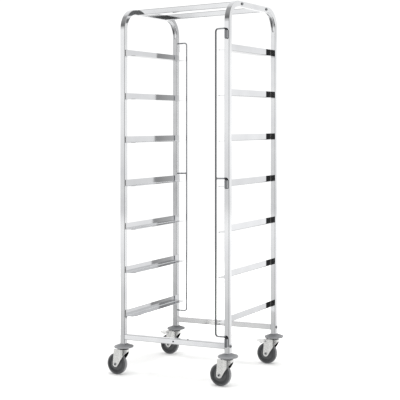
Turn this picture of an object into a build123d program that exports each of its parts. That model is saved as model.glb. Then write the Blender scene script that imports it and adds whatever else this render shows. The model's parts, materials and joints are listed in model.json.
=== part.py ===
from build123d import *
import os

os.makedirs("parts", exist_ok=True)

# Dishwasher rack trolley: two bent tube arches bolted together by four cross bars,
# seven pairs of basket runners, two swinging stop bars and four swivel castors.
# Millimetres, +Z up. The origin is on the floor, in the middle of the frame's plan.
# -Y is the front, where the first stop bar closes the bays.

# Square tube of the frame
tube_side = 25.0
tube_wall = 1.5
tube_corner = 2.5

# Frame
frame_width = 566.0
frame_depth = 505.0
frame_top = 1695.0
leg_bottom = 145.0
arch_bend = 100.0
dent_depth = 2.5
dent_round = 14.0
dent_run = 10.0
top_bar_spacing = 254.0
bottom_bar_underside = 165.0
vent_hole = 8.0

# Basket runners
runner_levels = 7
lowest_runner = 272.0
top_runner_drop = 223.0
runner_height = 30.0
runner_reach = 45.0
runner_sheet = 2.0
runner_bend = 2.0
runner_setback = 8.0
runner_chamfer = 14.0

# Bolts between the arches and the bars
bolt_diameter = 8.0
bolt_head = 14.0
bolt_head_height = 4.5
bolt_head_round = 3.0
bolt_socket = 6.0
bolt_socket_depth = 3.0
bolt_grip = 22.0
insert_length = 30.0

# Stop bars
wire = 8.0
stop_reach = 50.0
stop_bend = 12.0
pintle_bend = 8.0
top_arm_drop = 131.0
middle_arm = 910.0
bottom_arm = 220.0
barrel_diameter = 16.0
barrel_length = 34.0
barrel_flat = 0.5
pintle_overhang = 3.0

# Castors
wheel_diameter = 100.0
wheel_width = 25.0
tread_round = 5.0
tread_crown = 0.8
hub_diameter = 74.0
hub_rim = 4.0
hub_rim_width = 21.0
hub_web_width = 15.0
hub_boss = 22.0
castor_trail = 36.0
fork_width = 36.0
fork_sheet = 2.5
fork_head = 48.0
fork_crease = 5.0
fork_shoulder = 2.0
fork_end = 27.0
fork_back_top = 44.0
fork_nose = 28.0
fork_nose_height = 116.0
fork_top = 119.7
axle_diameter = 8.0
axle_head = 14.0
axle_head_height = 4.0
axle_head_round = 2.5
axle_socket = 6.0
axle_socket_depth = 2.6
axle_nut = 13.0
axle_nut_height = 6.5
axle_tail = 3.0
sleeve_diameter = 12.0
race_diameter = 42.0
race_height = 4.0
stem_diameter = 12.0
stem_head = 19.0
stem_head_height = 7.5
stem_grip = 24.0
plug_room = 2.0

# Bumper discs
bumper_diameter = 90.0
bumper_rim = 9.0
bumper_seat = 36.0
bumper_foot = 44.0
bumper_rim_rise = 3.5

# Brakes of the rear castors
brake_pin_offset = 38.0
brake_pin_height = 109.0
brake_pin = 6.0
brake_pin_head = 9.0
brake_pin_head_height = 2.0
pedal_tip = 86.0
pedal_tip_height = 113.0
pedal_tip_depth = 6.0
pedal_boss = 16.0
pedal_skirt_offset = 58.0
pedal_skirt_height = 100.0
pedal_sheet = 2.0
pedal_plate_start = 46.0
pedal_corner = 6.0
shoe_start = 50.0
shoe_end = 66.0
shoe_gap = 0.4
brake_throw = 9.0

# Clearances, all on one side
fixed_clearance = 0.1
running_clearance = 0.05
pintle_clearance = 0.1
moving_gap = 0.3
wheel_gap = 0.5

# Positions that follow from the sizes above
half_width = frame_width / 2
half_depth = frame_depth / 2
tube_half = tube_side / 2
tube_inner = tube_side - 2 * tube_wall
tube_inner_corner = max(tube_corner - tube_wall, 0.2)
leg_x = half_width - tube_half
leg_y = half_depth - tube_half
inner_face = half_width - tube_side
arch_bend_centre = arch_bend - tube_half
top_bar_z = frame_top - tube_half
bottom_bar_z = bottom_bar_underside + tube_half
runner_pitch = (frame_top - top_runner_drop - lowest_runner) / (runner_levels - 1)
bar_places = (
    ("front_top_bar", -top_bar_spacing / 2, top_bar_z),
    ("rear_top_bar", top_bar_spacing / 2, top_bar_z),
    ("front_bottom_bar", -leg_y, bottom_bar_z),
    ("rear_bottom_bar", leg_y, bottom_bar_z),
)
corners = (
    ("front_left", -leg_x, -leg_y),
    ("front_right", leg_x, -leg_y),
    ("rear_left", -leg_x, leg_y),
    ("rear_right", leg_x, leg_y),
)
wheel_radius = wheel_diameter / 2
race_bottom = fork_top + moving_gap
bumper_bottom = race_bottom + race_height
fork_ceiling = fork_top - fork_sheet
cheek_inside = fork_width / 2 - fork_sheet


def save(builder, name):
    builder.part.label = name
    export_step(builder.part, f"parts/{name}.step")


def upright_plane(x, y):
    """Vertical plane at a castor's swivel axis: local X along +X, local Y up."""
    return Plane(origin=(x, y, 0), x_dir=(1, 0, 0), z_dir=(0, -1, 0))


# Side arches: hollow square tube swept round an inverted U. In the bends the inner wall
# is drawn in a little, deepest in the middle, as it is in tube bent without a mandrel.
bend_y = half_depth - arch_bend
bend_z = frame_top - arch_bend
dent_start = arch_bend - tube_side - dent_round
dent_middle = (dent_start + dent_depth) / 2**0.5
for side_name, side in (("left", -1), ("right", 1)):
    arch_x = side * leg_x
    with BuildLine() as arch_path:
        FilletPolyline(
            (arch_x, -leg_y, leg_bottom),
            (arch_x, -leg_y, top_bar_z),
            (arch_x, leg_y, top_bar_z),
            (arch_x, leg_y, leg_bottom),
            radius=arch_bend_centre,
        )
    dent_lines = []
    for end in (-1, 1):
        with BuildLine() as dent_path:
            ThreePointArc(
                (arch_x, end * (bend_y + dent_start), bend_z - dent_run),
                (arch_x, end * (bend_y + dent_middle), bend_z + dent_middle),
                (arch_x, end * (bend_y - dent_run), bend_z + dent_start),
            )
        dent_lines.append(dent_path.line)
    with BuildPart() as hollow:
        with BuildSketch(Plane((arch_x, -leg_y, leg_bottom))):
            RectangleRounded(tube_inner, tube_inner, tube_inner_corner)
        sweep(path=arch_path.line)
        for dent_line in dent_lines:
            with BuildSketch(Plane(origin=dent_line @ 0, z_dir=dent_line % 0)):
                Circle(dent_round + tube_wall)
            sweep(path=dent_line, mode=Mode.SUBTRACT)
    with BuildPart() as arch:
        with BuildSketch(Plane((arch_x, -leg_y, leg_bottom))):
            RectangleRounded(tube_side, tube_side, tube_corner)
        sweep(path=arch_path.line)
        for dent_line in dent_lines:
            with BuildSketch(Plane(origin=dent_line @ 0, z_dir=dent_line % 0)):
                Circle(dent_round)
            sweep(path=dent_line, mode=Mode.SUBTRACT)
        add(hollow.part, mode=Mode.SUBTRACT)
        # Bolt holes through both side walls, where the bars butt against the arch
        for bar_name, bar_y, bar_z in bar_places:
            with BuildSketch(Plane(origin=(arch_x, bar_y, bar_z), z_dir=(1, 0, 0))):
                Circle(bolt_diameter / 2 + fixed_clearance)
            extrude(amount=tube_side, both=True, mode=Mode.SUBTRACT)
    save(arch, f"{side_name}_arch")

# Cross bars, cut to fit between the arches' inner faces
for bar_name, bar_y, bar_z in bar_places:
    with BuildPart() as bar:
        with BuildSketch(Plane(origin=(-inner_face, bar_y, bar_z), z_dir=(1, 0, 0))):
            RectangleRounded(tube_side, tube_side, tube_corner)
            RectangleRounded(tube_inner, tube_inner, tube_inner_corner, mode=Mode.SUBTRACT)
        extrude(amount=2 * inner_face)
        # Drain hole in the outer wall of the two bottom bars
        if bar_z == bottom_bar_z:
            outward = -1 if bar_y < 0 else 1
            with BuildSketch(Plane(origin=(0, bar_y, bar_z), z_dir=(0, outward, 0))):
                Circle(vent_hole / 2)
            extrude(amount=tube_side, mode=Mode.SUBTRACT)
    save(bar, bar_name)

# Threaded inserts in the bar ends, and the bolts that draw the bars to the arches
insert_side = tube_inner - 2 * fixed_clearance
with BuildPart() as bar_inserts:
    for bar_name, bar_y, bar_z in bar_places:
        for side in (-1, 1):
            with BuildSketch(Plane(origin=(side * inner_face, bar_y, bar_z), z_dir=(-side, 0, 0))):
                RectangleRounded(insert_side, insert_side, tube_inner_corner)
                Circle(bolt_diameter / 2 + fixed_clearance, mode=Mode.SUBTRACT)
            extrude(amount=insert_length)
save(bar_inserts, "bar_inserts")

with BuildPart() as bar_bolts:
    for bar_name, bar_y, bar_z in bar_places:
        for side in (-1, 1):
            seat = Plane(origin=(side * half_width, bar_y, bar_z), z_dir=(side, 0, 0))
            with BuildSketch(seat):
                Circle(bolt_head / 2)
            extrude(amount=bolt_head_height)
            with BuildSketch(seat):
                Circle(bolt_diameter / 2)
            extrude(amount=-(tube_side + bolt_grip))
            with BuildSketch(seat.offset(bolt_head_height)):
                RegularPolygon(bolt_socket / 2, 6, major_radius=False)
            extrude(amount=-bolt_socket_depth, mode=Mode.SUBTRACT)
    head_rims = [
        edge
        for edge in bar_bolts.edges().filter_by(GeomType.CIRCLE)
        if abs(abs(edge.center().X) - half_width - bolt_head_height) < 0.01
    ]
    fillet(head_rims, bolt_head_round)
save(bar_bolts, "bar_bolts")

# Basket runners: folded angle, upright flange on the legs and a shelf along its foot
runner_length = frame_depth - 2 * runner_setback
for side_name, side in (("left", -1), ("right", 1)):
    for level in range(runner_levels):
        runner_z = lowest_runner + level * runner_pitch
        outer = side * inner_face
        inside = side * (inner_face - runner_sheet)
        tip = side * (inner_face - runner_reach)
        with BuildPart() as runner:
            with BuildSketch(Plane(origin=(0, runner_length / 2, 0), x_dir=(1, 0, 0), z_dir=(0, -1, 0))):
                with BuildLine():
                    FilletPolyline(
                        (tip, runner_z),
                        (outer, runner_z),
                        (outer, runner_z + runner_height),
                        radius=runner_bend + runner_sheet,
                    )
                    FilletPolyline(
                        (tip, runner_z + runner_sheet),
                        (inside, runner_z + runner_sheet),
                        (inside, runner_z + runner_height),
                        radius=runner_bend,
                    )
                    Line((tip, runner_z), (tip, runner_z + runner_sheet))
                    Line((inside, runner_z + runner_height), (outer, runner_z + runner_height))
                make_face()
            extrude(amount=runner_length)
            shelf_corners = runner.edges().filter_by(Axis.Z).filter_by(
                lambda edge: abs(edge.center().X - tip) < 0.01
            )
            chamfer(shelf_corners, runner_chamfer)
        save(runner, f"{side_name}_runner_{level + 1}")

# Stop bars: one bent wire with a pintle at each end and a welded middle arm.
# The front one hangs on the right leg and the rear one on the left leg.
barrel_offset = barrel_diameter / 2 - barrel_flat
barrel_drop = pintle_bend + moving_gap
pintle_drop = barrel_drop + barrel_length + pintle_overhang
top_arm = frame_top - top_arm_drop
for stop_name, side in (("front", 1), ("rear", -1)):
    pin_x = side * leg_x
    pin_y = -side * (half_depth + barrel_offset)
    rod_x = pin_x - side * stop_reach
    with BuildPart() as stop_bar:
        with BuildLine() as bar_path:
            FilletPolyline(
                (pin_x, pin_y, top_arm - pintle_drop),
                (pin_x, pin_y, top_arm),
                (rod_x, pin_y, top_arm),
                (rod_x, pin_y, bottom_arm),
                (pin_x, pin_y, bottom_arm),
                (pin_x, pin_y, bottom_arm - pintle_drop),
                radius=(pintle_bend, stop_bend, stop_bend, pintle_bend),
            )
        with BuildSketch(Plane((pin_x, pin_y, top_arm - pintle_drop))):
            Circle(wire / 2)
        sweep(path=bar_path.line)
        with BuildLine() as arm_path:
            FilletPolyline(
                (pin_x, pin_y, middle_arm - pintle_drop),
                (pin_x, pin_y, middle_arm),
                (rod_x, pin_y, middle_arm),
                radius=pintle_bend,
            )
        with BuildSketch(Plane((pin_x, pin_y, middle_arm - pintle_drop))):
            Circle(wire / 2)
        sweep(path=arm_path.line)
    save(stop_bar, f"{stop_name}_stop_bar")

    # Hinge barrels, with a flat where they are welded to the leg
    with BuildPart() as barrels:
        for arm_z in (top_arm, middle_arm, bottom_arm):
            with BuildSketch(Plane((pin_x, pin_y, arm_z - barrel_drop - barrel_length))):
                Circle(barrel_diameter / 2)
                with Locations((0, side * (barrel_offset + barrel_diameter / 2))):
                    Rectangle(barrel_diameter, barrel_diameter, mode=Mode.SUBTRACT)
                Circle(wire / 2 + pintle_clearance, mode=Mode.SUBTRACT)
            extrude(amount=barrel_length)
    save(barrels, f"{stop_name}_stop_barrels")

# Threaded plugs in the leg ends, ending below the bolts of the bottom bars
plug_length = bottom_bar_z - bolt_diameter / 2 - plug_room - leg_bottom
with BuildPart() as leg_plugs:
    for corner_name, corner_x, corner_y in corners:
        with BuildSketch(Plane((corner_x, corner_y, leg_bottom))):
            RectangleRounded(insert_side, insert_side, tube_inner_corner)
            Circle(stem_diameter / 2 + fixed_clearance, mode=Mode.SUBTRACT)
        extrude(amount=plug_length)
save(leg_plugs, "leg_plugs")

# King bolts: head under the fork, shank up through race and bumper into the leg plug
with BuildPart() as castor_stems:
    for corner_name, corner_x, corner_y in corners:
        with BuildSketch(Plane((corner_x, corner_y, fork_ceiling - moving_gap))):
            RegularPolygon(stem_head / 2, 6, major_radius=False)
        extrude(amount=-stem_head_height)
        with BuildSketch(Plane((corner_x, corner_y, fork_ceiling - moving_gap))):
            Circle(stem_diameter / 2)
        extrude(amount=leg_bottom + stem_grip - fork_ceiling + moving_gap)
save(castor_stems, "castor_stems")

with BuildPart() as swivel_races:
    for corner_name, corner_x, corner_y in corners:
        with BuildSketch(Plane((corner_x, corner_y, race_bottom))):
            Circle(race_diameter / 2)
            Circle(stem_diameter / 2 + fixed_clearance, mode=Mode.SUBTRACT)
        extrude(amount=race_height)
save(swivel_races, "swivel_races")

# Bumper discs: saucers with a rounded rim, the leg standing on their flat crown
bumper_radius = bumper_diameter / 2
rim_centre = bumper_radius - bumper_rim / 2
rim_low = bumper_bottom + bumper_rim_rise
for corner_name, corner_x, corner_y in corners:
    with BuildPart() as bumper:
        with BuildSketch(upright_plane(corner_x, corner_y)):
            with BuildLine():
                Polyline(
                    (rim_centre, rim_low),
                    (bumper_foot / 2, bumper_bottom),
                    (stem_diameter / 2 + fixed_clearance, bumper_bottom),
                    (stem_diameter / 2 + fixed_clearance, leg_bottom),
                    (bumper_seat / 2, leg_bottom),
                    (rim_centre, rim_low + bumper_rim),
                )
                ThreePointArc(
                    (rim_centre, rim_low + bumper_rim),
                    (bumper_radius, rim_low + bumper_rim / 2),
                    (rim_centre, rim_low),
                )
            make_face()
        revolve(axis=Axis((corner_x, corner_y, 0), (0, 0, 1)))
    save(bumper, f"{corner_name}_bumper")


def wheel_plane(x, y):
    """Level plane through a wheel's axle: local X radial, local Y along the axle."""
    return Plane((x - castor_trail, y, wheel_radius))


def plate_underside(offset_back):
    """Height of the pedal plate's lower face at a distance behind the swivel axis."""
    return pedal_tip_height - pedal_sheet - plate_slope * (pedal_tip - offset_back)


pedal_half = cheek_inside - wheel_gap
plate_slope = (pedal_tip_height - brake_pin_height - pedal_boss / 2) / (pedal_tip - brake_pin_offset)
hub_radius = hub_diameter / 2
hub_bore = sleeve_diameter / 2 + running_clearance
sleeve_half = cheek_inside - fixed_clearance
boss_half = sleeve_half - moving_gap
axle_half = fork_width / 2
for corner_name, corner_x, corner_y in corners:
    axle_x = corner_x - castor_trail
    axle = Axis((axle_x, corner_y, wheel_radius), (0, 1, 0))
    braked = corner_name.startswith("rear")

    # Pressed fork: round cup under the race, running back into two flat cheeks
    with BuildPart() as fork:
        with BuildSketch(Plane((corner_x, corner_y, 0))) as plan:
            Circle(fork_head / 2)
            with Locations((-fork_head, 0)):
                Rectangle(2 * fork_head, fork_width)
            creases = plan.vertices().group_by(Axis.X)[1]
            fillet(creases, fork_crease)
        extrude(amount=fork_top)
        cup_rim = fork.edges().filter_by(Plane.XY).group_by(Axis.Z)[-1]
        fillet(cup_rim.sort_by(Axis.X)[1:], fork_shoulder)
        with BuildSketch(Plane((corner_x, corner_y, 0))):
            offset(plan.sketch_local.faces(), amount=-fork_sheet)
        extrude(amount=fork_ceiling, mode=Mode.SUBTRACT)
        # Behind the cup the space between the cheeks is open at the top
        with BuildSketch(Plane((corner_x, corner_y, 0))):
            with Locations((-2 * fork_head, 0)):
                Rectangle(4 * fork_head, 2 * cheek_inside)
            Circle(fork_head / 2, mode=Mode.SUBTRACT)
        extrude(amount=2 * fork_top, mode=Mode.SUBTRACT)
        with BuildSketch(upright_plane(corner_x, corner_y)):
            with BuildLine():
                CenterArc((-castor_trail, wheel_radius), fork_end / 2, 0, 360)
                Polyline(
                    (-fork_back_top, fork_top),
                    (fork_nose, fork_top),
                    (fork_nose, fork_nose_height),
                )
            make_hull()
        extrude(amount=fork_head, both=True, mode=Mode.INTERSECT)
        with BuildSketch(Plane((corner_x, corner_y, 0))):
            Circle(stem_diameter / 2 + running_clearance)
        extrude(amount=2 * fork_top, mode=Mode.SUBTRACT)
        with BuildSketch(upright_plane(corner_x, corner_y)):
            with Locations((-castor_trail, wheel_radius)):
                Circle(axle_diameter / 2 + fixed_clearance)
            if braked:
                with Locations((-brake_pin_offset, brake_pin_height)):
                    Circle(brake_pin / 2 + running_clearance)
        extrude(amount=fork_head, both=True, mode=Mode.SUBTRACT)
    save(fork, f"{corner_name}_fork")

    # Sleeve clamped between the cheeks, and the axle bolt with its nut
    with BuildPart() as sleeve:
        with BuildSketch(upright_plane(axle_x, corner_y)):
            with Locations((0, wheel_radius)):
                Circle(sleeve_diameter / 2)
                Circle(axle_diameter / 2 + fixed_clearance, mode=Mode.SUBTRACT)
        extrude(amount=sleeve_half, both=True)
    save(sleeve, f"{corner_name}_axle_sleeve")

    near_face = upright_plane(axle_x, corner_y).offset(axle_half)
    far_face = upright_plane(axle_x, corner_y).offset(-axle_half)
    with BuildPart() as axle_bolt:
        with BuildSketch(near_face):
            with Locations((0, wheel_radius)):
                Circle(axle_head / 2)
        extrude(amount=axle_head_height)
        fillet(axle_bolt.faces().sort_by(Axis.Y)[0].edges(), axle_head_round)
        with BuildSketch(near_face.offset(axle_head_height)):
            with Locations((0, wheel_radius)):
                RegularPolygon(axle_socket / 2, 6, major_radius=False)
        extrude(amount=-axle_socket_depth, mode=Mode.SUBTRACT)
        with BuildSketch(near_face):
            with Locations((0, wheel_radius)):
                Circle(axle_diameter / 2)
        extrude(amount=-(fork_width + axle_nut_height + axle_tail))
        with BuildSketch(far_face):
            with Locations((0, wheel_radius)):
                RegularPolygon(axle_nut / 2, 6, major_radius=False)
                Circle(axle_diameter / 2 + fixed_clearance, mode=Mode.SUBTRACT)
        extrude(amount=-axle_nut_height)
    save(axle_bolt, f"{corner_name}_axle_bolt")

    # Moulded hub: boss on the sleeve, thinner web and a raised rim inside the tyre
    with BuildPart() as hub:
        with BuildSketch(wheel_plane(corner_x, corner_y)):
            with BuildLine():
                half_profile = Polyline(
                    (hub_bore, 0),
                    (hub_bore, boss_half),
                    (hub_boss / 2, boss_half),
                    (hub_boss / 2 + hub_rim / 2, hub_web_width / 2),
                    (hub_radius - hub_rim, hub_web_width / 2),
                    (hub_radius - hub_rim, hub_rim_width / 2),
                    (hub_radius, hub_rim_width / 2),
                    (hub_radius, 0),
                )
                mirror(half_profile, about=Plane.XZ)
            make_face()
        revolve(axis=axle)
    save(hub, f"{corner_name}_hub")

    # Tyre: flat flanks, rounded shoulders and a slightly crowned tread
    shoulder = wheel_radius - tread_crown - tread_round
    flank = wheel_width / 2
    with BuildPart() as tyre:
        with BuildSketch(wheel_plane(corner_x, corner_y)):
            with BuildLine():
                Polyline((shoulder, flank), (hub_radius, flank), (hub_radius, -flank), (shoulder, -flank))
                RadiusArc(
                    (shoulder, -flank),
                    (wheel_radius - tread_crown, tread_round - flank),
                    tread_round,
                )
                ThreePointArc(
                    (wheel_radius - tread_crown, tread_round - flank),
                    (wheel_radius, 0),
                    (wheel_radius - tread_crown, flank - tread_round),
                )
                RadiusArc(
                    (wheel_radius - tread_crown, flank - tread_round),
                    (shoulder, flank),
                    tread_round,
                )
            make_face()
        revolve(axis=axle)
    save(tyre, f"{corner_name}_tyre")

    if not braked:
        continue

    # Brake pin, riveted through both cheeks
    pin_plane = upright_plane(corner_x - brake_pin_offset, corner_y)
    with BuildPart() as brake_pivot:
        with BuildSketch(pin_plane):
            with Locations((0, brake_pin_height)):
                Circle(brake_pin / 2)
        extrude(amount=axle_half + brake_pin_head_height, both=True)
        for rivet_side in (-1, 1):
            with BuildSketch(pin_plane.offset(rivet_side * axle_half)):
                with Locations((0, brake_pin_height)):
                    Circle(brake_pin_head / 2)
            extrude(amount=rivet_side * brake_pin_head_height)
    save(brake_pivot, f"{corner_name}_brake_pin")

    # Pedal: channel with two ears on the pin, open below so that it straddles the wheel
    with BuildPart() as pedal:
        with BuildSketch(upright_plane(corner_x, corner_y)):
            with BuildLine():
                CenterArc((-brake_pin_offset, brake_pin_height), pedal_boss / 2, 0, 360)
                Polyline(
                    (-pedal_tip, pedal_tip_height),
                    (-pedal_tip, pedal_tip_height - pedal_tip_depth),
                    (-pedal_skirt_offset, pedal_skirt_height),
                )
            make_hull()
        extrude(amount=pedal_half, both=True)
        tip_corners = pedal.edges().filter_by(Axis.Z).sort_by(Axis.X)[:2]
        fillet(tip_corners, pedal_corner)
        with BuildSketch(upright_plane(corner_x, corner_y)):
            with BuildLine():
                Polyline(
                    (-2 * pedal_tip, plate_underside(2 * pedal_tip)),
                    (-pedal_plate_start, plate_underside(pedal_plate_start)),
                    (-pedal_plate_start, 2 * pedal_tip_height),
                    (0, 2 * pedal_tip_height),
                    (0, 0),
                    (-2 * pedal_tip, 0),
                    close=True,
                )
            make_face()
        extrude(amount=pedal_half - pedal_sheet, both=True, mode=Mode.SUBTRACT)
        with BuildSketch(upright_plane(corner_x, corner_y)):
            with Locations((-brake_pin_offset, brake_pin_height)):
                Circle(brake_pin / 2 + running_clearance)
        extrude(amount=fork_width, both=True, mode=Mode.SUBTRACT)
    save(pedal, f"{corner_name}_brake_pedal")

    # Brake shoe under the pedal's plate. Its hollow fits round the tyre when the pedal is down.
    pin_to_axle = Vector(brake_pin_offset - castor_trail, wheel_radius - brake_pin_height)
    raised_axle = pin_to_axle.rotate(Axis.Z, -brake_throw)
    with BuildPart() as shoe:
        with BuildSketch(upright_plane(corner_x, corner_y)):
            with BuildLine():
                Polyline(
                    (-shoe_end, plate_underside(shoe_end)),
                    (-shoe_start, plate_underside(shoe_start)),
                    (-shoe_start, wheel_radius),
                    (-shoe_end, wheel_radius),
                    close=True,
                )
            make_face()
            with Locations((raised_axle.X - brake_pin_offset, raised_axle.Y + brake_pin_height)):
                Circle(wheel_radius + shoe_gap, mode=Mode.SUBTRACT)
        extrude(amount=pedal_half - pedal_sheet - fixed_clearance, both=True)
    save(shoe, f"{corner_name}_brake_shoe")
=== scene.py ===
import json
import math
import bpy
from mathutils import Matrix


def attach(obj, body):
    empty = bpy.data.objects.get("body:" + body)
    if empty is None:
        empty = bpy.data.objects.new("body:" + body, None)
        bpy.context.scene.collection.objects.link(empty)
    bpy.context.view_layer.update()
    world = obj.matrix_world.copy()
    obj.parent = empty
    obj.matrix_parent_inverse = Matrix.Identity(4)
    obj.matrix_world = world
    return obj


# Dishwasher rack trolley: polished tube frame, folded runners, wire stop bars, plated castors
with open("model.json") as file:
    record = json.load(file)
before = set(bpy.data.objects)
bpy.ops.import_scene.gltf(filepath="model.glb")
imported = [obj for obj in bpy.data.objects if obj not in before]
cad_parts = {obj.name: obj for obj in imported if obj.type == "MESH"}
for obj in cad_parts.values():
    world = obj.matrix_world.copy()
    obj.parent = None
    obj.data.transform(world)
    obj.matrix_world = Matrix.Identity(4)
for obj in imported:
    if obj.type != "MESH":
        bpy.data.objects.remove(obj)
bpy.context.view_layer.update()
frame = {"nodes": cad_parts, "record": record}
nodes = frame["nodes"]
slotOf = {row["node"]: row["material_slot"] for row in frame["record"]["subparts"]}
mm = 0.001
print("frame loaded,", len(nodes), "nodes")


def hexColour(code):
    parts = [int(code[i:i + 2], 16) / 255 for i in (1, 3, 5)]
    linear = [c / 12.92 if c <= 0.04045 else ((c + 0.055) / 1.055) ** 2.4 for c in parts]
    return (*linear, 1.0)


def addNode(tree, kind, values=None, links=None, stops=None, **settings):
    node = tree.nodes.new(kind)
    for name, value in settings.items():
        setattr(node, name, value)
    for socket, value in (values or {}).items():
        node.inputs[socket].default_value = value
    for socket, source in (links or {}).items():
        tree.links.new(source, node.inputs[socket])
    if stops:  # a ramp's places and colours, in rising order
        elements = node.color_ramp.elements
        elements[0].position, elements[0].color = stops[0]
        elements[1].position, elements[1].color = stops[-1]
        for position, colour in stops[1:-1]:
            elements.new(position).color = colour
    return node


def newMaterial(name):
    material = bpy.data.materials.new(name)
    material.use_nodes = True
    material.node_tree.nodes.clear()
    return material, material.node_tree


def dress(nodeName, material):
    mesh = nodes[nodeName].data
    mesh.materials.clear()
    mesh.materials.append(material)


# Sizes that the finishes and added pieces share with the solids, in millimetres
sizes = {"top": 1695.0, "archBend": 100.0, "halfDepth": 252.5, "legX": 270.5, "legY": 240.0, "innerFace": 258.0,
         "tubeSide": 25.0, "castorTrail": 36.0, "axleHeight": 50.0, "topBarY": 127.0, "bottomBarZ": 177.5}


def alongArch(tree, place):
    # coordinates that follow the bent tube: across it in X, across it from the bend's centre, along its run
    bendY = (sizes["halfDepth"] - sizes["archBend"]) * mm
    bendZ = (sizes["top"] - sizes["archBend"]) * mm
    middle = (sizes["archBend"] - sizes["tubeSide"] / 2) * mm
    split = addNode(tree, "ShaderNodeSeparateXYZ", links={0: place})
    size = addNode(tree, "ShaderNodeMath", links={0: split.outputs["Y"]}, operation="ABSOLUTE")
    out = addNode(tree, "ShaderNodeMath", {1: bendY}, {0: size.outputs[0]}, operation="SUBTRACT")
    up = addNode(tree, "ShaderNodeMath", {1: bendZ}, {0: split.outputs["Z"]}, operation="SUBTRACT")
    outPart = addNode(tree, "ShaderNodeMath", {1: 0.0}, {0: out.outputs[0]}, operation="MAXIMUM")
    upPart = addNode(tree, "ShaderNodeMath", {1: 0.0}, {0: up.outputs[0]}, operation="MAXIMUM")
    outSquare = addNode(tree, "ShaderNodeMath", {1: 2.0}, {0: outPart.outputs[0]}, operation="POWER")
    across = addNode(tree, "ShaderNodeMath", operation="MULTIPLY_ADD", links={
        0: upPart.outputs[0], 1: upPart.outputs[0], 2: outSquare.outputs[0]})
    radius = addNode(tree, "ShaderNodeMath", {1: 0.5}, {0: across.outputs[0]}, operation="POWER")
    turn = addNode(tree, "ShaderNodeMath", links={0: upPart.outputs[0], 1: outPart.outputs[0]}, operation="ARCTAN2")
    legPart = addNode(tree, "ShaderNodeMath", {1: 0.0}, {0: up.outputs[0]}, operation="MINIMUM")
    topPart = addNode(tree, "ShaderNodeMath", {1: 0.0}, {0: out.outputs[0]}, operation="MINIMUM")
    straight = addNode(tree, "ShaderNodeMath", links={0: legPart.outputs[0], 1: topPart.outputs[0]},
                       operation="SUBTRACT")
    run = addNode(tree, "ShaderNodeMath", {1: middle}, {0: turn.outputs[0], 2: straight.outputs[0]},
                  operation="MULTIPLY_ADD")
    return addNode(tree, "ShaderNodeCombineXYZ", links={"X": split.outputs["X"], "Y": radius.outputs[0],
                                                       "Z": run.outputs[0]}).outputs[0]


def fromAxis(tree, place, axis):
    # distance from an axis, seen along it; mirrored draws the same round every corner of the trolley
    if axis["mirrored"]:
        place = addNode(tree, "ShaderNodeVectorMath", links={0: place}, operation="ABSOLUTE").outputs[0]
    flat = addNode(tree, "ShaderNodeVectorMath", {1: axis["plane"]}, {0: place}, operation="MULTIPLY")
    return addNode(tree, "ShaderNodeVectorMath", {1: axis["centre"]}, {0: flat.outputs[0]},
                   operation="DISTANCE").outputs["Value"]


lineAxis = {"X": 0, "Y": 1, "Z": 2, "arch": 2}  # alongArch gives the tube's run as Z
noiseSpan = {"From Min": 0.3, "From Max": 0.7}  # most of what a noise gives lies in here
tintPlaces = (0.35, 0.65)  # where a cloud of handling starts and where it is full
lineWeight = 0.6  # what the lines add to the roughness, next to the clouds


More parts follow.
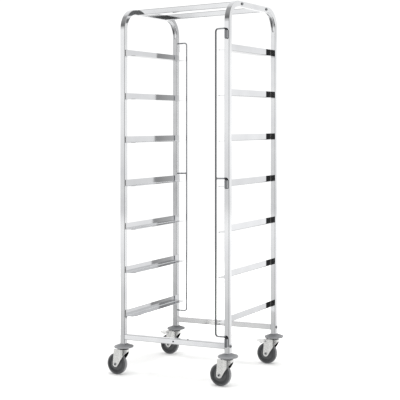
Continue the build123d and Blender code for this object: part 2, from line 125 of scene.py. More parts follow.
def steel(name, finish):
    # worked metal: fine lines along the working direction, faint clouds of handling, faces that are never quite flat
    material, tree = newMaterial(name)
    place = addNode(tree, "ShaderNodeTexCoord").outputs["Object"]
    lined = alongArch(tree, place) if finish["along"] == "arch" else place
    stretch = [1 / (finish["lineWidth"] * mm)] * 3
    stretch[lineAxis[finish["along"]]] = 1 / (finish["lineLength"] * mm)
    lines = addNode(tree, "ShaderNodeTexNoise", {"Scale": 1.0, "Detail": 2.0},
                    {"Vector": addNode(tree, "ShaderNodeMapping", {"Scale": stretch}, {"Vector": lined}).outputs[0]})
    clouds = addNode(tree, "ShaderNodeTexNoise", {"Scale": 1 / (finish["cloudSize"] * mm), "Detail": 3.0},
                     {"Vector": place})
    tint = addNode(tree, "ShaderNodeValToRGB", links={"Fac": clouds.outputs["Fac"]},
                   stops=list(zip(tintPlaces, (hexColour(finish["shade"]), hexColour(finish["colour"])))))
    colour = tint.outputs[0]
    low, high = finish["roughness"]
    gloss = addNode(tree, "ShaderNodeMapRange", {**noiseSpan, "To Min": low, "To Max": high},
                    {"Value": clouds.outputs["Fac"]})
    rough = addNode(tree, "ShaderNodeMath", {1: (high - low) * lineWeight},
                    {0: lines.outputs["Fac"], 2: gloss.outputs[0]}, operation="MULTIPLY_ADD").outputs[0]
    height = lines.outputs["Fac"]
    if "scratches" in finish:  # long scores on faces that look up, where baskets slide
        scratches = finish["scratches"]
        facing = addNode(tree, "ShaderNodeSeparateXYZ", links={
            0: addNode(tree, "ShaderNodeNewGeometry").outputs["Normal"]})
        upward = addNode(tree, "ShaderNodeMapRange", scratches["facingUp"], {"Value": facing.outputs["Z"]})
        score = addNode(tree, "ShaderNodeTexNoise", {"Scale": 1.0, "Detail": 1.0}, {
            "Vector": addNode(tree, "ShaderNodeMapping", {"Scale": scratches["stretch"]},
                              {"Vector": place}).outputs[0]})
        deep = addNode(tree, "ShaderNodeMapRange", scratches["scored"], {"Value": score.outputs["Fac"]})
        worn = addNode(tree, "ShaderNodeMath", links={0: deep.outputs[0], 1: upward.outputs[0]}, operation="MULTIPLY")
        rough = addNode(tree, "ShaderNodeMath", {1: scratches["rougher"]}, {0: worn.outputs[0], 2: rough},
                        operation="MULTIPLY_ADD").outputs[0]
        height = addNode(tree, "ShaderNodeMath", {1: -scratches["depth"]}, {0: worn.outputs[0], 2: height},
                         operation="MULTIPLY_ADD").outputs[0]
    for shadeFull, shadeEnd, code in finish.get("shadeBands", []):  # painted shade bands: full at one distance off the middle, gone at the other
        sideways = addNode(tree, "ShaderNodeSeparateXYZ", links={
            0: addNode(tree, "ShaderNodeVectorMath", links={0: place}, operation="ABSOLUTE").outputs[0]})
        bright = addNode(tree, "ShaderNodeMapRange", {"From Min": shadeFull * mm, "From Max": shadeEnd * mm},
                         {"Value": sideways.outputs["X"]})
        colour = addNode(tree, "ShaderNodeMix", {"A": hexColour(code)},
                         {"Factor": bright.outputs[0], "B": colour}, data_type="RGBA").outputs["Result"]
    if "socketShade" in finish:  # hex sockets painted black inside: painted shade in the recess
        socketShade = finish["socketShade"]
        away = None
        for centre in socketShade["centres"]:
            step = fromAxis(tree, place, {**socketShade, "centre": centre})
            away = step if away is None else addNode(tree, "ShaderNodeMath", links={0: away, 1: step},
                                                     operation="MINIMUM").outputs[0]
        socketDark = addNode(tree, "ShaderNodeMapRange", {"From Min": socketShade["radius"] * mm * socketShade["softEdge"],
                                                    "From Max": socketShade["radius"] * mm}, {"Value": away})
        colour = addNode(tree, "ShaderNodeMix", {"A": hexColour(socketShade["colour"])},
                         {"Factor": socketDark.outputs[0], "B": colour}, data_type="RGBA").outputs["Result"]
    if "innerShade" in finish:  # painted shade between the cheeks and inside the cup of each fork, where the wheel and near cheek keep the light out
        split = addNode(tree, "ShaderNodeSeparateXYZ", links={0: place})
        side = addNode(tree, "ShaderNodeMath", links={0: split.outputs["X"]}, operation="SIGN")
        forward = addNode(tree, "ShaderNodeMath", {1: -sizes["legX"] * mm},
                          {0: side.outputs[0], 2: split.outputs["X"]}, operation="MULTIPLY_ADD")
        wide = addNode(tree, "ShaderNodeMath", links={0: split.outputs["Y"]}, operation="ABSOLUTE")
        offMiddle = addNode(tree, "ShaderNodeMath", {1: sizes["legY"] * mm}, {0: wide.outputs[0]},
                            operation="SUBTRACT")
        gap = addNode(tree, "ShaderNodeMath", links={0: offMiddle.outputs[0]}, operation="ABSOLUTE")
        fromStem = addNode(tree, "ShaderNodeVectorMath", links={
            0: addNode(tree, "ShaderNodeCombineXYZ", links={"X": forward.outputs[0], "Y": gap.outputs[0]}).outputs[0]},
            operation="LENGTH").outputs["Value"]
        limits = {}
        for label, value in (("cheek", gap.outputs[0]), ("front", forward.outputs[0]), ("cup", fromStem),
                             ("top", split.outputs["Z"])):
            low, high = finish["innerShade"][label]
            limits[label] = addNode(tree, "ShaderNodeMapRange", {"From Min": low * mm, "From Max": high * mm},
                                    {"Value": value}).outputs[0]
        outside = addNode(tree, "ShaderNodeMath", links={0: limits["cheek"], 1: limits["front"]},
                          operation="MAXIMUM")
        outer = addNode(tree, "ShaderNodeMath", links={0: outside.outputs[0], 1: limits["cup"]}, operation="MINIMUM")
        shadeFree = addNode(tree, "ShaderNodeMath", links={0: outer.outputs[0], 1: limits["top"]}, operation="MAXIMUM")
        colour = addNode(tree, "ShaderNodeMix", {"A": hexColour(finish["innerShade"]["colour"])},
                         {"Factor": shadeFree.outputs[0], "B": colour}, data_type="RGBA").outputs["Result"]
    ridge = addNode(tree, "ShaderNodeBump", {"Strength": finish["bump"], "Distance": finish["lineDepth"] * mm},
                    {"Height": height})
    swell = addNode(tree, "ShaderNodeTexNoise", {"Scale": 1 / (finish["waveSize"] * mm), "Detail": 1.0},
                    {"Vector": place})
    wavy = addNode(tree, "ShaderNodeBump", {"Strength": 1.0, "Distance": finish["wave"] * mm},
                   {"Height": swell.outputs["Fac"], "Normal": ridge.outputs[0]})
    tilted = addNode(tree, "ShaderNodeVectorMath", {1: finish.get("lean", (0, 0, 0))}, {0: wavy.outputs[0]},
                     operation="ADD")
    normal = addNode(tree, "ShaderNodeVectorMath", links={0: tilted.outputs[0]}, operation="NORMALIZE")
    shader = addNode(tree, "ShaderNodeBsdfPrincipled", {"Metallic": finish.get("metallic", 1.0)},
                     {"Base Color": colour, "Roughness": rough, "Normal": normal.outputs[0]})
    addNode(tree, "ShaderNodeOutputMaterial", links={"Surface": shader.outputs[0]})
    return material


def moulded(name, finish):
    # moulded plastic or rubber: soft mottling, the tool's eroded grain, and rings of colour round an axis
    material, tree = newMaterial(name)
    place = addNode(tree, "ShaderNodeTexCoord").outputs["Object"]
    mottle = addNode(tree, "ShaderNodeTexNoise", {"Scale": 1 / (finish["mottle"] * mm), "Detail": 4.0},
                     {"Vector": place})
    grain = addNode(tree, "ShaderNodeTexNoise", {"Scale": 1 / (finish["grain"] * mm), "Detail": 2.0},
                    {"Vector": place})
    away = fromAxis(tree, place, finish["around"])
    ragged = addNode(tree, "ShaderNodeMath", {1: finish["ragged"] * mm}, {0: mottle.outputs["Fac"], 2: away},
                     operation="MULTIPLY_ADD")
    reach = finish["rings"][-1][0]
    where = addNode(tree, "ShaderNodeMath", {1: 1 / (reach * mm)}, {0: ragged.outputs[0]}, operation="MULTIPLY")
    ringed = addNode(tree, "ShaderNodeValToRGB", links={"Fac": where.outputs[0]},
                     stops=[(radius / reach, hexColour(code)) for radius, code in finish["rings"]])
    cloudy = addNode(tree, "ShaderNodeMapRange", {**noiseSpan, "To Min": finish["cloud"]},
                     {"Value": mottle.outputs["Fac"]})
    colour = addNode(tree, "ShaderNodeMix", {"Factor": 1.0}, {"A": ringed.outputs[0], "B": cloudy.outputs[0]},
                     data_type="RGBA", blend_type="MULTIPLY")
    gloss = addNode(tree, "ShaderNodeMapRange", {"To Min": finish["roughness"][0], "To Max": finish["roughness"][1]},
                    {"Value": grain.outputs["Fac"]})
    turns = addNode(tree, "ShaderNodeMath", {1: 2 * math.pi / (finish["toolPitch"] * mm)}, {0: away},
                    operation="MULTIPLY")
    turned = addNode(tree, "ShaderNodeMath", links={0: turns.outputs[0]}, operation="SINE")
    height = addNode(tree, "ShaderNodeMath", {1: finish["toolDepth"]},
                     {0: turned.outputs[0], 2: grain.outputs["Fac"]}, operation="MULTIPLY_ADD")
    ridge = addNode(tree, "ShaderNodeBump", {"Strength": finish["bump"], "Distance": finish["grainDepth"] * mm},
                    {"Height": height.outputs[0]})
    shader = addNode(tree, "ShaderNodeBsdfPrincipled", {"Metallic": 0.0, "IOR": finish["ior"]}, {
        "Base Color": colour.outputs["Result"], "Roughness": gloss.outputs[0], "Normal": ridge.outputs[0]})
    addNode(tree, "ShaderNodeOutputMaterial", links={"Surface": shader.outputs[0]})
    return material


# Stainless tube, belt-polished along its run: bright, with long faint lines (drawn three times as coarse as the
# real 0.4 mm so that they show) and slow waves in the faces
tubeFinish = {"colour": "#f3f4f5", "shade": "#ebecee", "roughness": (0.05, 0.08), "lineWidth": 1.2, "lineLength": 90,
              "lineDepth": 0.02, "along": "arch", "cloudSize": 90, "bump": 0.12, "waveSize": 70, "wave": 0.03}
archSteel = steel("beltPolishedStainlessTube", tubeFinish)
barSteel = steel("beltPolishedStainlessCrossTube", {**tubeFinish, "along": "X"})
# The front lower tube sits rolled back and a little askew, so its face looks up by three degrees and left by two
rolledBarSteel = steel("beltPolishedStainlessRolledTube", {**tubeFinish, "along": "X", "lean": (-0.036, 0, 0.055)})
# The rear lower tube is scuffed by feet, so it mirrors only soft shapes
scuffedBarSteel = steel("beltPolishedStainlessScuffedTube", {
    **tubeFinish, "colour": "#fdfdfd", "shade": "#f6f6f7", "along": "X", "roughness": (0.1, 0.13),
    "lean": (0, 0, 0.008)})
# Bright-annealed stainless sheet: flat enough to mirror a clean edge, scored along the shelves by baskets
runnerSteel = steel("brightAnnealedStainlessSheet", {
    **tubeFinish, "colour": "#e3e4e6", "shade": "#dddee0", "along": "Y", "roughness": (0.012, 0.02), "bump": 0.02,
    "wave": 0.004, "waveSize": 160, "scratches": {
        "stretch": (700, 5, 1), "facingUp": {"From Min": 0.6, "From Max": 0.9},
        "scored": {"From Min": 0.6, "From Max": 0.68}, "depth": 2.0, "rougher": 0.16}})
# Drawn wire, centreless-ground: darker than sheet, with a soft line of light down each side
wireFinish = {**tubeFinish, "colour": "#d8dadc", "shade": "#cccdd1", "roughness": (0.12, 0.17), "lineWidth": 0.8,
              "along": "Z", "cloudSize": 40, "wave": 0.0}
# Painted shade on the pin end, where the wire bends down into its barrel and turns away from the light
pinBendShade = (sizes["legX"] - 4.0, sizes["legX"] - 9.0, "#5c5d5f")  # the pin end, dark where it turns in its barrel
wireSteel = steel("drawnStainlessWire", {**wireFinish, "shadeBands": [pinBendShade]})
# The front bar's rod is darkened between its bright arms: painted shade standing in for the darker surroundings it
# mirrors
shadedWireSteel = steel("drawnStainlessWirePaintedShade", {**wireFinish, "shadeBands": [
    pinBendShade, (sizes["legX"] - 46.0, sizes["legX"] - 40.0, "#8b8d90")]})
# Bar turned in a lathe: faint rings round it, softer mirror than the tube
barrelSteel = steel("turnedStainlessBar", {**tubeFinish, "colour": "#c6c8cb", "shade": "#b9bbbe", "wave": 0.0,
                                           "roughness": (0.1, 0.16), "lineWidth": 0.6, "lineLength": 30, "along": "X"})
# Cold-forged stainless screws: satin heads, sockets painted black as shade in the recess
boltSteel = steel("forgedStainlessScrew", {
    **tubeFinish, "colour": "#c4c5c8", "shade": "#aeb0b3", "roughness": (0.2, 0.3), "along": "X", "wave": 0.0,
    "cloudSize": 6, "socketShade": {
        "mirrored": True, "plane": (0, 1, 1), "radius": 3.3, "softEdge": 0.92, "colour": "#161617",
        "centres": [(0, sizes["topBarY"] * mm, (sizes["top"] - sizes["tubeSide"] / 2) * mm),
                    (0, sizes["legY"] * mm, sizes["bottomBarZ"] * mm)]}})
# Zinc-plated pressings: pale, silky, with a faint crystalline mottle
zincFinish = {"colour": "#fbfbf9", "shade": "#f1f1ef", "roughness": (0.12, 0.18), "lineWidth": 1.5, "lineLength": 6,
              "lineDepth": 0.02, "along": "Z", "cloudSize": 7, "bump": 0.08, "waveSize": 30, "wave": 0.02,
              "metallic": 0.8}
# The forks carry painted shade between their cheeks and inside their cups
forkZinc = steel("zincPlatedPressing", {**zincFinish, "innerShade": {
    "colour": "#2c2b2a", "cheek": (16.4, 17.2), "front": (-14.0, -12.5), "cup": (22.4, 23.2), "top": (112.0, 114.0)}})
pedalZinc = steel("zincPlatedPedalPressing", {**zincFinish, "colour": "#ffffff", "metallic": 0.5})
# The axle bolts' hex sockets are painted black as shade in the recess
axleZinc = steel("zincPlatedForgedBolt", {
    **zincFinish, "colour": "#d0d1d2", "shade": "#bfc0c2", "wave": 0.0,
    "socketShade": {"mirrored": False, "plane": (1, 0, 1), "radius": 3.3, "softEdge": 0.92, "colour": "#141415",
                "centres": [((side * sizes["legX"] - sizes["castorTrail"]) * mm, 0, sizes["axleHeight"] * mm)
                            for side in (-1, 1)]}})
# The swivel races are oiled, and their dark grey is also painted shade for the gap under the bumper
shadedSwivelZinc = steel("oiledAndShadedZincPlatedSteel", {**zincFinish, "colour": "#5d5e60", "shade": "#4b4c4e", "wave": 0.0,
                                            "metallic": 1.0})
plugMetal = steel("sawnAluminium", {**zincFinish, "colour": "#b9babc", "shade": "#a9aaac", "wave": 0.0,
                                    "metallic": 1.0})
# Weld metal: dull, rippled, straw and grey from the heat
weldMetal = steel("brushedWeldMetal", {**zincFinish, "colour": "#cfceca", "shade": "#b5b3af", "roughness": (0.5, 0.65),
                                       "cloudSize": 4, "wave": 0.0, "metallic": 1.0})
# Injection-moulded polyethylene: waxy mid-grey, scuffed pale along the rim that meets walls
legAround = {"mirrored": True, "plane": (1, 1, 0), "centre": (sizes["legX"] * mm, sizes["legY"] * mm, 0)}
bumperPlastic = moulded("mouldedGreyPolyethylene", {
    "rings": [(0, "#57585a"), (17, "#57585a"), (24, "#6d6e70"), (40, "#6f7072"), (45, "#808183"), (48, "#808183")],
    "around": legAround, "ragged": 4.0, "cloud": 0.9, "roughness": (0.34, 0.46), "mottle": 22, "grain": 1.0,
    "grainDepth": 0.1, "bump": 0.2, "ior": 1.51, "toolPitch": 2.0, "toolDepth": 0.05})
# Black brake rubber: matt, with soft clouds and a fine moulded grain
shoeRubber = moulded("mouldedBlackRubber", {
    "rings": [(0, "#2c2c2e"), (40, "#2c2c2e")], "around": legAround, "ragged": 0.0, "cloud": 0.8,
    "roughness": (0.65, 0.8), "mottle": 10, "grain": 0.8, "grainDepth": 0.1, "bump": 0.3, "ior": 1.52,
    "toolPitch": 3.0, "toolDepth": 0.0})
slotMaterial = {"frame_tube": archSteel, "runner_sheet": runnerSteel, "stop_wire": wireSteel,
                "hinge_barrel": barrelSteel, "bar_bolt": boltSteel, "inner_plug": plugMetal,
                "swivel_steel": shadedSwivelZinc, "bumper_plastic": bumperPlastic, "fork_zinc": forkZinc,
                "axle_steel": axleZinc, "pedal_zinc": pedalZinc, "shoe_rubber": shoeRubber}
ownMaterial = {"front_top_bar": barSteel, "rear_top_bar": barSteel, "front_bottom_bar": rolledBarSteel,
               "rear_bottom_bar": scuffedBarSteel, "front_stop_bar": shadedWireSteel}
for nodeName, slotName in slotOf.items():
    if slotName in slotMaterial:
        dress(nodeName, ownMaterial.get(nodeName, slotMaterial[slotName]))

# Wheels: each has its own axle, so its rings of colour, with their painted shade and painted sheen, are drawn round
# its own centre
wheelFinish = {"ragged": 1.0, "cloud": 0.86, "grain": 0.8, "grainDepth": 0.1, "bump": 0.25, "toolPitch": 2.4,
               "toolDepth": 0.12}
# Moulded thermoplastic rubber: matt grey, painted shade in the seam against the hub, a painted sheen that makes the
# tread pale
tyreFinish = {**wheelFinish, "roughness": (0.42, 0.56), "mottle": 12, "ior": 1.52, "rings": [
    (0, "#2b2b2d"), (37.8, "#2b2b2d"), (39.2, "#48494b"), (47.0, "#4c4d4f"), (48.8, "#7f8082"), (52, "#868789")]}
# Injection-moulded polypropylene: smoother than the tyre, dust and shadow at the foot of the boss and rim
hubFinish = {**wheelFinish, "roughness": (0.36, 0.5), "mottle": 16, "ior": 1.49, "rings": [
    (0, "#343537"), (11.5, "#343537"), (15, "#4e4f51"), (29.5, "#535456"), (32.8, "#353638"), (34.2, "#4b4c4e"),
    (36.6, "#454648"), (38, "#242425")]}
for side, sideName in ((-1, "left"), (1, "right")):
    for endName in ("front", "rear"):
        cornerWord = endName.capitalize() + sideName.capitalize()
        axleAround = {"mirrored": False, "plane": (1, 0, 1), "centre": (
            (side * sizes["legX"] - sizes["castorTrail"]) * mm, 0, sizes["axleHeight"] * mm)}
        dress(f"{endName}_{sideName}_tyre",
              moulded(f"mouldedGreyRubber{cornerWord}", {**tyreFinish, "around": axleAround}))
        dress(f"{endName}_{sideName}_hub",
              moulded(f"mouldedGreyPolypropylene{cornerWord}", {**hubFinish, "around": axleAround}))
print("finishes on", len(slotOf), "nodes")


def newTree(name, inputs):
    # an empty geometry tree with its group nodes and named inputs
    tree = bpy.data.node_groups.new(name, "GeometryNodeTree")
    tree.interface.new_socket("Geometry", in_out="INPUT", socket_type="NodeSocketGeometry")
    for label, kind in inputs:
        tree.interface.new_socket(label, in_out="INPUT", socket_type=kind)
    tree.interface.new_socket("Geometry", in_out="OUTPUT", socket_type="NodeSocketGeometry")
    return tree, addNode(tree, "NodeGroupInput"), addNode(tree, "NodeGroupOutput")


def grow(name, tree, points, edges, settings, body):
    # runs a tree on a few points or paths and keeps the result as a plain mesh on its body
    seedMesh = bpy.data.meshes.new(name + "Path")
    seedMesh.from_pydata(points, edges, [])
    seed = bpy.data.objects.new(name + "Path", seedMesh)
    bpy.context.scene.collection.objects.link(seed)
    modifier = seed.modifiers.new("grow", "NODES")
    modifier.node_group = tree
    for item in tree.interface.items_tree:
        if item.in_out == "INPUT" and item.name in settings:
            modifier[item.identifier] = settings[item.name]
    grown = bpy.data.meshes.new_from_object(seed.evaluated_get(bpy.context.evaluated_depsgraph_get()))
    seed.modifiers.remove(modifier)
    bpy.data.objects.remove(seed)
    grown.name = name
    piece = bpy.data.objects.new(name, grown)
    bpy.context.scene.collection.objects.link(piece)
    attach(piece, body)


# Weld beads: a rippled bead along each path; runner and hinge places are the solids' own
welds = {"radius": 1.7, "ringRadius": 1.1, "pitch": 2.2, "depth": 0.16, "stepShare": 0.25, "sides": 8,
         "unevenLow": 0.9, "unevenHigh": 1.1, "seed": 7, "runnerLow": 5.0, "runnerHigh": 27.0, "runnerEnd": 244.5,
         "runnerLevels": [272.0 + 200.0 * level for level in range(7)], "endProud": 0.6, "endPast": 0.5,
         "backSink": 1.0, "backPast": 0.1, "hingeArms": (1564.0, 910.0, 220.0), "barrelTop": 8.3,
         "barrelLength": 34.0, "barrelInset": 3.0, "barrelGap": 4.9, "barrelProud": 0.7, "rodReach": 50.0, "wire": 8.0,
         "pinY": 260.0, "ringProud": 0.3, "ringPoints": 20}
beadTree, beadIn, beadOut = newTree("weldBead", [
    ("Bead Radius", "NodeSocketFloat"), ("Ripple Pitch", "NodeSocketFloat"), ("Ripple Depth", "NodeSocketFloat"),
    ("Metal", "NodeSocketMaterial")])
beadStep = addNode(beadTree, "ShaderNodeMath", {1: welds["stepShare"]}, {0: beadIn.outputs["Ripple Pitch"]},
                   operation="MULTIPLY")
beadLine = addNode(beadTree, "GeometryNodeResampleCurve", links={
    "Curve": addNode(beadTree, "GeometryNodeMeshToCurve", links={"Mesh": beadIn.outputs["Geometry"]}).outputs[0],
    "Length": beadStep.outputs[0]}, mode="LENGTH")
beadTurns = addNode(beadTree, "ShaderNodeMath", links={
    0: addNode(beadTree, "GeometryNodeSplineParameter").outputs["Length"], 1: beadIn.outputs["Ripple Pitch"]},
    operation="DIVIDE")
beadAngle = addNode(beadTree, "ShaderNodeMath", {1: 2 * math.pi}, {0: beadTurns.outputs[0]}, operation="MULTIPLY")
beadWave = addNode(beadTree, "ShaderNodeMath", links={0: beadAngle.outputs[0]}, operation="SINE")
beadUneven = addNode(beadTree, "FunctionNodeRandomValue", {
    "Min": welds["unevenLow"], "Max": welds["unevenHigh"], "Seed": welds["seed"]})
beadRipple = addNode(beadTree, "ShaderNodeMath", {2: 1.0},
                     {0: beadWave.outputs[0], 1: beadIn.outputs["Ripple Depth"]}, operation="MULTIPLY_ADD")
beadShare = addNode(beadTree, "ShaderNodeMath", links={0: beadRipple.outputs[0], 1: beadUneven.outputs[1]},
                    operation="MULTIPLY")
beadSwollen = addNode(beadTree, "GeometryNodeSetCurveRadius", links={"Curve": beadLine.outputs[0],
                                                                     "Radius": beadShare.outputs[0]})
beadRound = addNode(beadTree, "GeometryNodeCurvePrimitiveCircle", {"Resolution": welds["sides"]},
                    {"Radius": beadIn.outputs["Bead Radius"]})
beadBody = addNode(beadTree, "GeometryNodeCurveToMesh", {"Fill Caps": True},
                   {"Curve": beadSwollen.outputs[0], "Profile Curve": beadRound.outputs["Curve"]})
beadSmooth = addNode(beadTree, "GeometryNodeSetShadeSmooth", links={
    0: addNode(beadTree, "GeometryNodeRealizeInstances", links={0: beadBody.outputs[0]}).outputs[0]})
beadDressed = addNode(beadTree, "GeometryNodeSetMaterial", links={"Geometry": beadSmooth.outputs[0],
                                                                  "Material": beadIn.outputs["Metal"]})
beadTree.links.new(beadDressed.outputs[0], beadOut.inputs["Geometry"])

beadSettings = {"Bead Radius": welds["radius"] * mm, "Ripple Pitch": welds["pitch"] * mm,
                "Ripple Depth": welds["depth"], "Metal": weldMetal}
weldPoints, weldEdges = [], []


def weldLine(x, y, low, high):
    weldEdges.append((len(weldPoints), len(weldPoints) + 1))
    weldPoints.extend([(x * mm, y * mm, low * mm), (x * mm, y * mm, high * mm)])


for side in (-1, 1):
    for end in (-1, 1):
        for level in welds["runnerLevels"]:
            low, high = level + welds["runnerLow"], level + welds["runnerHigh"]
            weldLine(side * (sizes["innerFace"] - welds["endProud"]),
                     end * (welds["runnerEnd"] + welds["endPast"]), low, high)
            weldLine(side * (sizes["innerFace"] + welds["backSink"]),
                     end * (sizes["halfDepth"] - sizes["tubeSide"] + welds["backPast"]), low, high)
for side in (-1, 1):
    for arm in welds["hingeArms"]:
        high = arm - welds["barrelTop"] - welds["barrelInset"]
        low = arm - welds["barrelTop"] - welds["barrelLength"] + welds["barrelInset"]
        for flank in (-1, 1):
            weldLine(side * sizes["legX"] + flank * welds["barrelGap"],
                     -side * (sizes["halfDepth"] + welds["barrelProud"]), low, high)
grow("frameWelds", beadTree, weldPoints, weldEdges, beadSettings, "frame")
for body, side in (("front_stop", 1), ("rear_stop", -1)):
    ringX = side * (sizes["legX"] - welds["rodReach"] + welds["wire"] / 2 + welds["ringProud"])
    turns = [2 * math.pi * k / welds["ringPoints"] for k in range(welds["ringPoints"])]
    ring = [(ringX * mm, (-side * welds["pinY"] + welds["wire"] / 2 * math.cos(turn)) * mm,
             (welds["hingeArms"][1] + welds["wire"] / 2 * math.sin(turn)) * mm) for turn in turns]
    ringEdges = [(k, (k + 1) % len(ring)) for k in range(len(ring))]
    grow(body + "Weld", beadTree, ring, ringEdges, {**beadSettings, "Bead Radius": welds["ringRadius"] * mm}, body)
print("welds along", len(weldEdges), "seams")

# Tread ridges pressed up in the brake pedals
pedal = {"tip": 86.0, "tipHeight": 113.0, "slope": -4.0 / 48.0, "ridges": (56.0, 64.0, 72.0, 80.0),
         "ridgeSize": (1.7, 10.5, 1.1), "segments": 20, "rings": 10}
ridgeTree, ridgeIn, ridgeOut = newTree("pressedRidges", [
    ("Ridge Size", "NodeSocketVector"), ("Slope", "NodeSocketVector"), ("Metal", "NodeSocketMaterial")])
ridgeBump = addNode(ridgeTree, "GeometryNodeMeshUVSphere", {
    "Segments": pedal["segments"], "Rings": pedal["rings"], "Radius": 1.0})
ridgeRow = addNode(ridgeTree, "GeometryNodeInstanceOnPoints", links={
    "Points": addNode(ridgeTree, "GeometryNodeMeshToPoints", links={0: ridgeIn.outputs["Geometry"]}).outputs[0],
    "Instance": ridgeBump.outputs["Mesh"], "Rotation": ridgeIn.outputs["Slope"],
    "Scale": ridgeIn.outputs["Ridge Size"]})
ridgeSmooth = addNode(ridgeTree, "GeometryNodeSetShadeSmooth", links={
    0: addNode(ridgeTree, "GeometryNodeRealizeInstances", links={0: ridgeRow.outputs[0]}).outputs[0]})
ridgeDressed = addNode(ridgeTree, "GeometryNodeSetMaterial", links={"Geometry": ridgeSmooth.outputs[0],
                                                                    "Material": ridgeIn.outputs["Metal"]})
ridgeTree.links.new(ridgeDressed.outputs[0], ridgeOut.inputs["Geometry"])
for sideName, side in (("left", -1), ("right", 1)):
    ridgePlaces = [((side * sizes["legX"] - back) * mm, sizes["legY"] * mm,
                    (pedal["tipHeight"] - pedal["slope"] * (pedal["tip"] - back)) * mm) for back in pedal["ridges"]]
    grow(f"rear_{sideName}PedalRidges", ridgeTree, ridgePlaces, [], {
        "Ridge Size": tuple(s * mm for s in pedal["ridgeSize"]), "Slope": (0.0, math.atan(pedal["slope"]), 0.0),
        "Metal": pedalZinc}, f"rear_{sideName}_brake")
print("pedal ridges pressed")

# Studio: pale floor, a light room that polished steel mirrors, soft light from above; lengths in metres
studio = {"floorSize": 9.0, "floorColour": "#f7f7f6", "floorRoughness": 0.9, "floorGlow": 0.35, "floorSeen": 0.64,
          "shadeReach": (0.6, 1.4), "roomLevel": 1.12, "backdropLevel": 1.1, "keyPower": 340.0, "keySize": 4.0,
          "keyPlace": (0.4, -0.6, 4.2)}
floorMesh = bpy.data.meshes.new("floor")
half = studio["floorSize"] / 2
floorMesh.from_pydata([(-half, -half, 0), (half, -half, 0), (half, half, 0), (-half, half, 0)], [], [(0, 1, 2, 3)])
floor = bpy.data.objects.new("floor", floorMesh)
bpy.context.scene.collection.objects.link(floor)
floorMaterial, floorTree = newMaterial("palePaper")
# Near the trolley the paper looks a little darker than it lights, so the soft shadows round the wheels aren't lost
paperAway = addNode(floorTree, "ShaderNodeVectorMath", links={
    0: addNode(floorTree, "ShaderNodeTexCoord").outputs["Object"]}, operation="LENGTH").outputs["Value"]
shadeNear, shadeFar = studio["shadeReach"]
paperNear = addNode(floorTree, "ShaderNodeMapRange", {"From Min": shadeNear, "From Max": shadeFar,
                                                      "To Min": studio["floorSeen"]}, {"Value": paperAway})
paperSeen = addNode(floorTree, "ShaderNodeMapRange", {"To Min": 1.0}, {
    "Value": addNode(floorTree, "ShaderNodeLightPath").outputs["Is Camera Ray"], "To Max": paperNear.outputs[0]})
paperColour = addNode(floorTree, "ShaderNodeMix", {"Factor": 1.0, "A": hexColour(studio["floorColour"])},
                      {"B": paperSeen.outputs[0]}, data_type="RGBA", blend_type="MULTIPLY")
paperGlow = addNode(floorTree, "ShaderNodeMath", {1: studio["floorGlow"]}, {0: paperSeen.outputs[0]},
                    operation="MULTIPLY")
floorShader = addNode(floorTree, "ShaderNodeBsdfPrincipled", {
    "Roughness": studio["floorRoughness"], "Specular IOR Level": 0.0, "Emission Color": (1, 1, 1, 1)}, {
    "Base Color": paperColour.outputs["Result"], "Emission Strength": paperGlow.outputs[0]})
addNode(floorTree, "ShaderNodeOutputMaterial", links={"Surface": floorShader.outputs[0]})
floorMesh.materials.append(floorMaterial)
floor.visible_glossy = False

# The room, as greys by angle in degrees: by height above the horizon, its floor and its walls with the ceiling, in
# front and behind, then by bearing from -Y towards +X, where the side behind the camera is dark up to darkTop
room = {"floorLine": -4.6,
        "frontFloor": [(-90, 0.7), (-62, 0.66), (-52, 0.36), (-40, 0.29), (-28, 0.31), (-14, 0.46), (-10, 0.6),
                       (-8, 0.72), (-5.6, 0.88), (-4.6, 0.93)],
        "frontWall": [(-4.6, 0.65), (-2, 0.7), (1, 0.84), (8, 0.86), (12, 0.74), (17, 0.5), (21.5, 0.18), (28, 0.16),
                      (48, 0.3), (90, 0.4)],
        "backFloor": [(-90, 0.8), (-30, 0.8), (-11.5, 0.78), (-8, 0.98), (-4.6, 1.02)],
        "backWall": [(-4.6, 0.83), (0, 0.98), (4.4, 0.95), (5.4, 0.8), (20, 0.9), (45, 0.8), (90, 0.4)],
        "backShare": [(-180, 1), (-105, 1), (-75, 0), (75, 0), (105, 1), (180, 1)],
        "bearing": [(-180, 1), (-60, 0.96), (-24, 0.97), (-14, 0.8), (-4, 0.45), (12, 0.33), (40, 0.34), (60, 0.36),
                    (85, 0.7), (120, 0.95), (180, 1)],
        "darkSide": [(-8, 1), (-4, 0.5), (12, 0.12), (29.2, 0.12), (29.6, 0.25), (29.95, 0.25), (30.1, 0.03),
                     (30.8, 0.03), (30.95, 0.5), (31.75, 0.5), (31.9, 0.08), (32.35, 0.08), (32.5, 0.6), (34, 0.8),
                     (36, 1)],
        "darkTop": [(14, 1), (24, 0)],
        "frontPanel": [(-36, 1), (-31.4, 1), (-31.1, 0.65), (-29.2, 0.65), (-28.9, 1.05), (-26.2, 1.04),
                       (-24.9, 0.93), (-22, 0.94), (-20, 1)],  # a grey wall panel that stands up to panelTop
        "panelTop": [(6.5, 1), (6.9, 0)],
        "wallEdge": [(146.0, 1), (146.6, 0.88), (148.66, 0.89), (148.69, 0.3), (149.75, 0.48), (150.1, 0.88),
                     (152, 1)],  # the dark edge of the back wall, which leans a little with height
        "wallLean": 0.025}
world = bpy.data.worlds.new("studio")
bpy.context.scene.world = world
world.use_nodes = True
sky = world.node_tree
sky.nodes.clear()
direction = addNode(sky, "ShaderNodeSeparateXYZ", links={0: addNode(sky, "ShaderNodeTexCoord").outputs["Generated"]})
rise = addNode(sky, "ShaderNodeMath", links={0: direction.outputs["Z"]}, operation="ARCSINE").outputs[0]
forward = addNode(sky, "ShaderNodeMath", {1: -1.0}, {0: direction.outputs["Y"]}, operation="MULTIPLY")
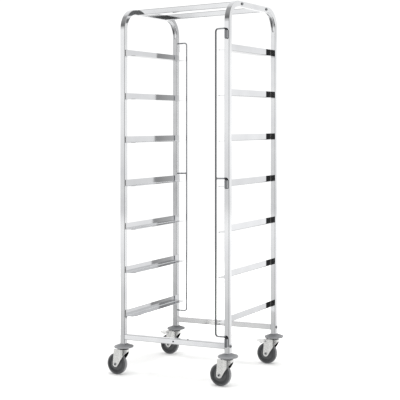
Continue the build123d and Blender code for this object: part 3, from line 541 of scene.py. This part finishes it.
bearing = addNode(sky, "ShaderNodeMath", links={0: direction.outputs["X"], 1: forward.outputs[0]},
                  operation="ARCTAN2").outputs[0]
leaning = addNode(sky, "ShaderNodeMath", {1: -room["wallLean"]}, {0: rise, 2: bearing},
                  operation="MULTIPLY_ADD").outputs[0]
shades = {}
for label, angle in (("frontFloor", rise), ("frontWall", rise), ("backFloor", rise), ("backWall", rise),
                     ("backShare", bearing), ("bearing", bearing), ("darkSide", bearing), ("darkTop", rise),
                     ("frontPanel", bearing), ("panelTop", rise), ("wallEdge", leaning)):
    first, last = room[label][0][0], room[label][-1][0]
    spread = addNode(sky, "ShaderNodeMapRange", {"From Min": math.radians(first), "From Max": math.radians(last)},
                     {"Value": angle})
    shades[label] = addNode(sky, "ShaderNodeValToRGB", links={"Fac": spread.outputs[0]},
                            stops=[((place - first) / (last - first), (grey, grey, grey, 1))
                                   for place, grey in room[label]]).outputs[0]
aboveFloor = addNode(sky, "ShaderNodeMath", {1: math.radians(room["floorLine"])}, {0: rise}, operation="GREATER_THAN")
inFront = addNode(sky, "ShaderNodeMix", links={"Factor": aboveFloor.outputs[0], "A": shades["frontFloor"],
                                               "B": shades["frontWall"]}, data_type="RGBA")
behind = addNode(sky, "ShaderNodeMix", links={"Factor": aboveFloor.outputs[0], "A": shades["backFloor"],
                                              "B": shades["backWall"]}, data_type="RGBA")
roomGrey = addNode(sky, "ShaderNodeMix", links={"Factor": shades["backShare"], "A": inFront.outputs["Result"],
                                                "B": behind.outputs["Result"]}, data_type="RGBA").outputs["Result"]
for label, limit in (("bearing", "darkTop"), ("darkSide", "darkTop"), ("frontPanel", "panelTop"), ("wallEdge", None)):
    share = {"Factor": shades[limit]} if limit else {}
    roomGrey = addNode(sky, "ShaderNodeMix", {"Factor": 1.0}, {**share, "A": roomGrey, "B": shades[label]},
                       data_type="RGBA", blend_type="MULTIPLY").outputs["Result"]
rayKind = addNode(sky, "ShaderNodeLightPath").outputs["Is Camera Ray"]
strength = addNode(sky, "ShaderNodeMapRange", {"To Min": studio["roomLevel"], "To Max": studio["backdropLevel"]},
                   {"Value": rayKind})
seen = addNode(sky, "ShaderNodeMix", {"B": (1, 1, 1, 1)}, {"Factor": rayKind, "A": roomGrey}, data_type="RGBA")
surround = addNode(sky, "ShaderNodeBackground", links={"Color": seen.outputs["Result"],
                                                       "Strength": strength.outputs[0]})
addNode(sky, "ShaderNodeOutputWorld", links={"Surface": surround.outputs[0]})

keyData = bpy.data.lights.new("overheadSoftbox", "AREA")
keyData.energy = studio["keyPower"]
keyData.size = studio["keySize"]
key = bpy.data.objects.new("overheadSoftbox", keyData)
key.location = studio["keyPlace"]
key.visible_glossy = False
bpy.context.scene.collection.objects.link(key)
print("studio set")

# Camera: level, with the horizon above the middle of the picture and climbing a little to the right
cameraPlace = {"location": (2.3165, -4.2163, 1.1055), "turn": 0.5026, "focalPixels": 1023.5, "horizonRow": 134.1,
               "horizonClimb": 0.0201, "pictureSide": 400, "sensorWidth": 36.0, "clip": (0.05, 100.0)}
cameraData = bpy.data.cameras.new("camera")
cameraData.sensor_width = cameraPlace["sensorWidth"]
cameraData.lens = cameraPlace["focalPixels"] * cameraData.sensor_width / cameraPlace["pictureSide"]
cameraData.shift_y = cameraPlace["horizonRow"] / cameraPlace["pictureSide"] - 0.5
cameraData.clip_start, cameraData.clip_end = cameraPlace["clip"]
camera = bpy.data.objects.new("camera", cameraData)
bpy.context.scene.collection.objects.link(camera)
camera.location = cameraPlace["location"]
camera.rotation_euler = (math.pi / 2, 0.0, cameraPlace["turn"])
bpy.context.view_layer.update()
climb = Matrix.Identity(4)
climb[1][0] = -cameraPlace["horizonClimb"]
cameraStand = bpy.data.objects.new("cameraStand", None)
bpy.context.scene.collection.objects.link(cameraStand)
upright = camera.matrix_world.copy()
camera.parent = cameraStand
camera.matrix_parent_inverse = upright @ climb @ upright.inverted()
bpy.context.scene.camera = camera
bpy.context.scene.view_settings.view_transform = "Standard"
print("camera placed")
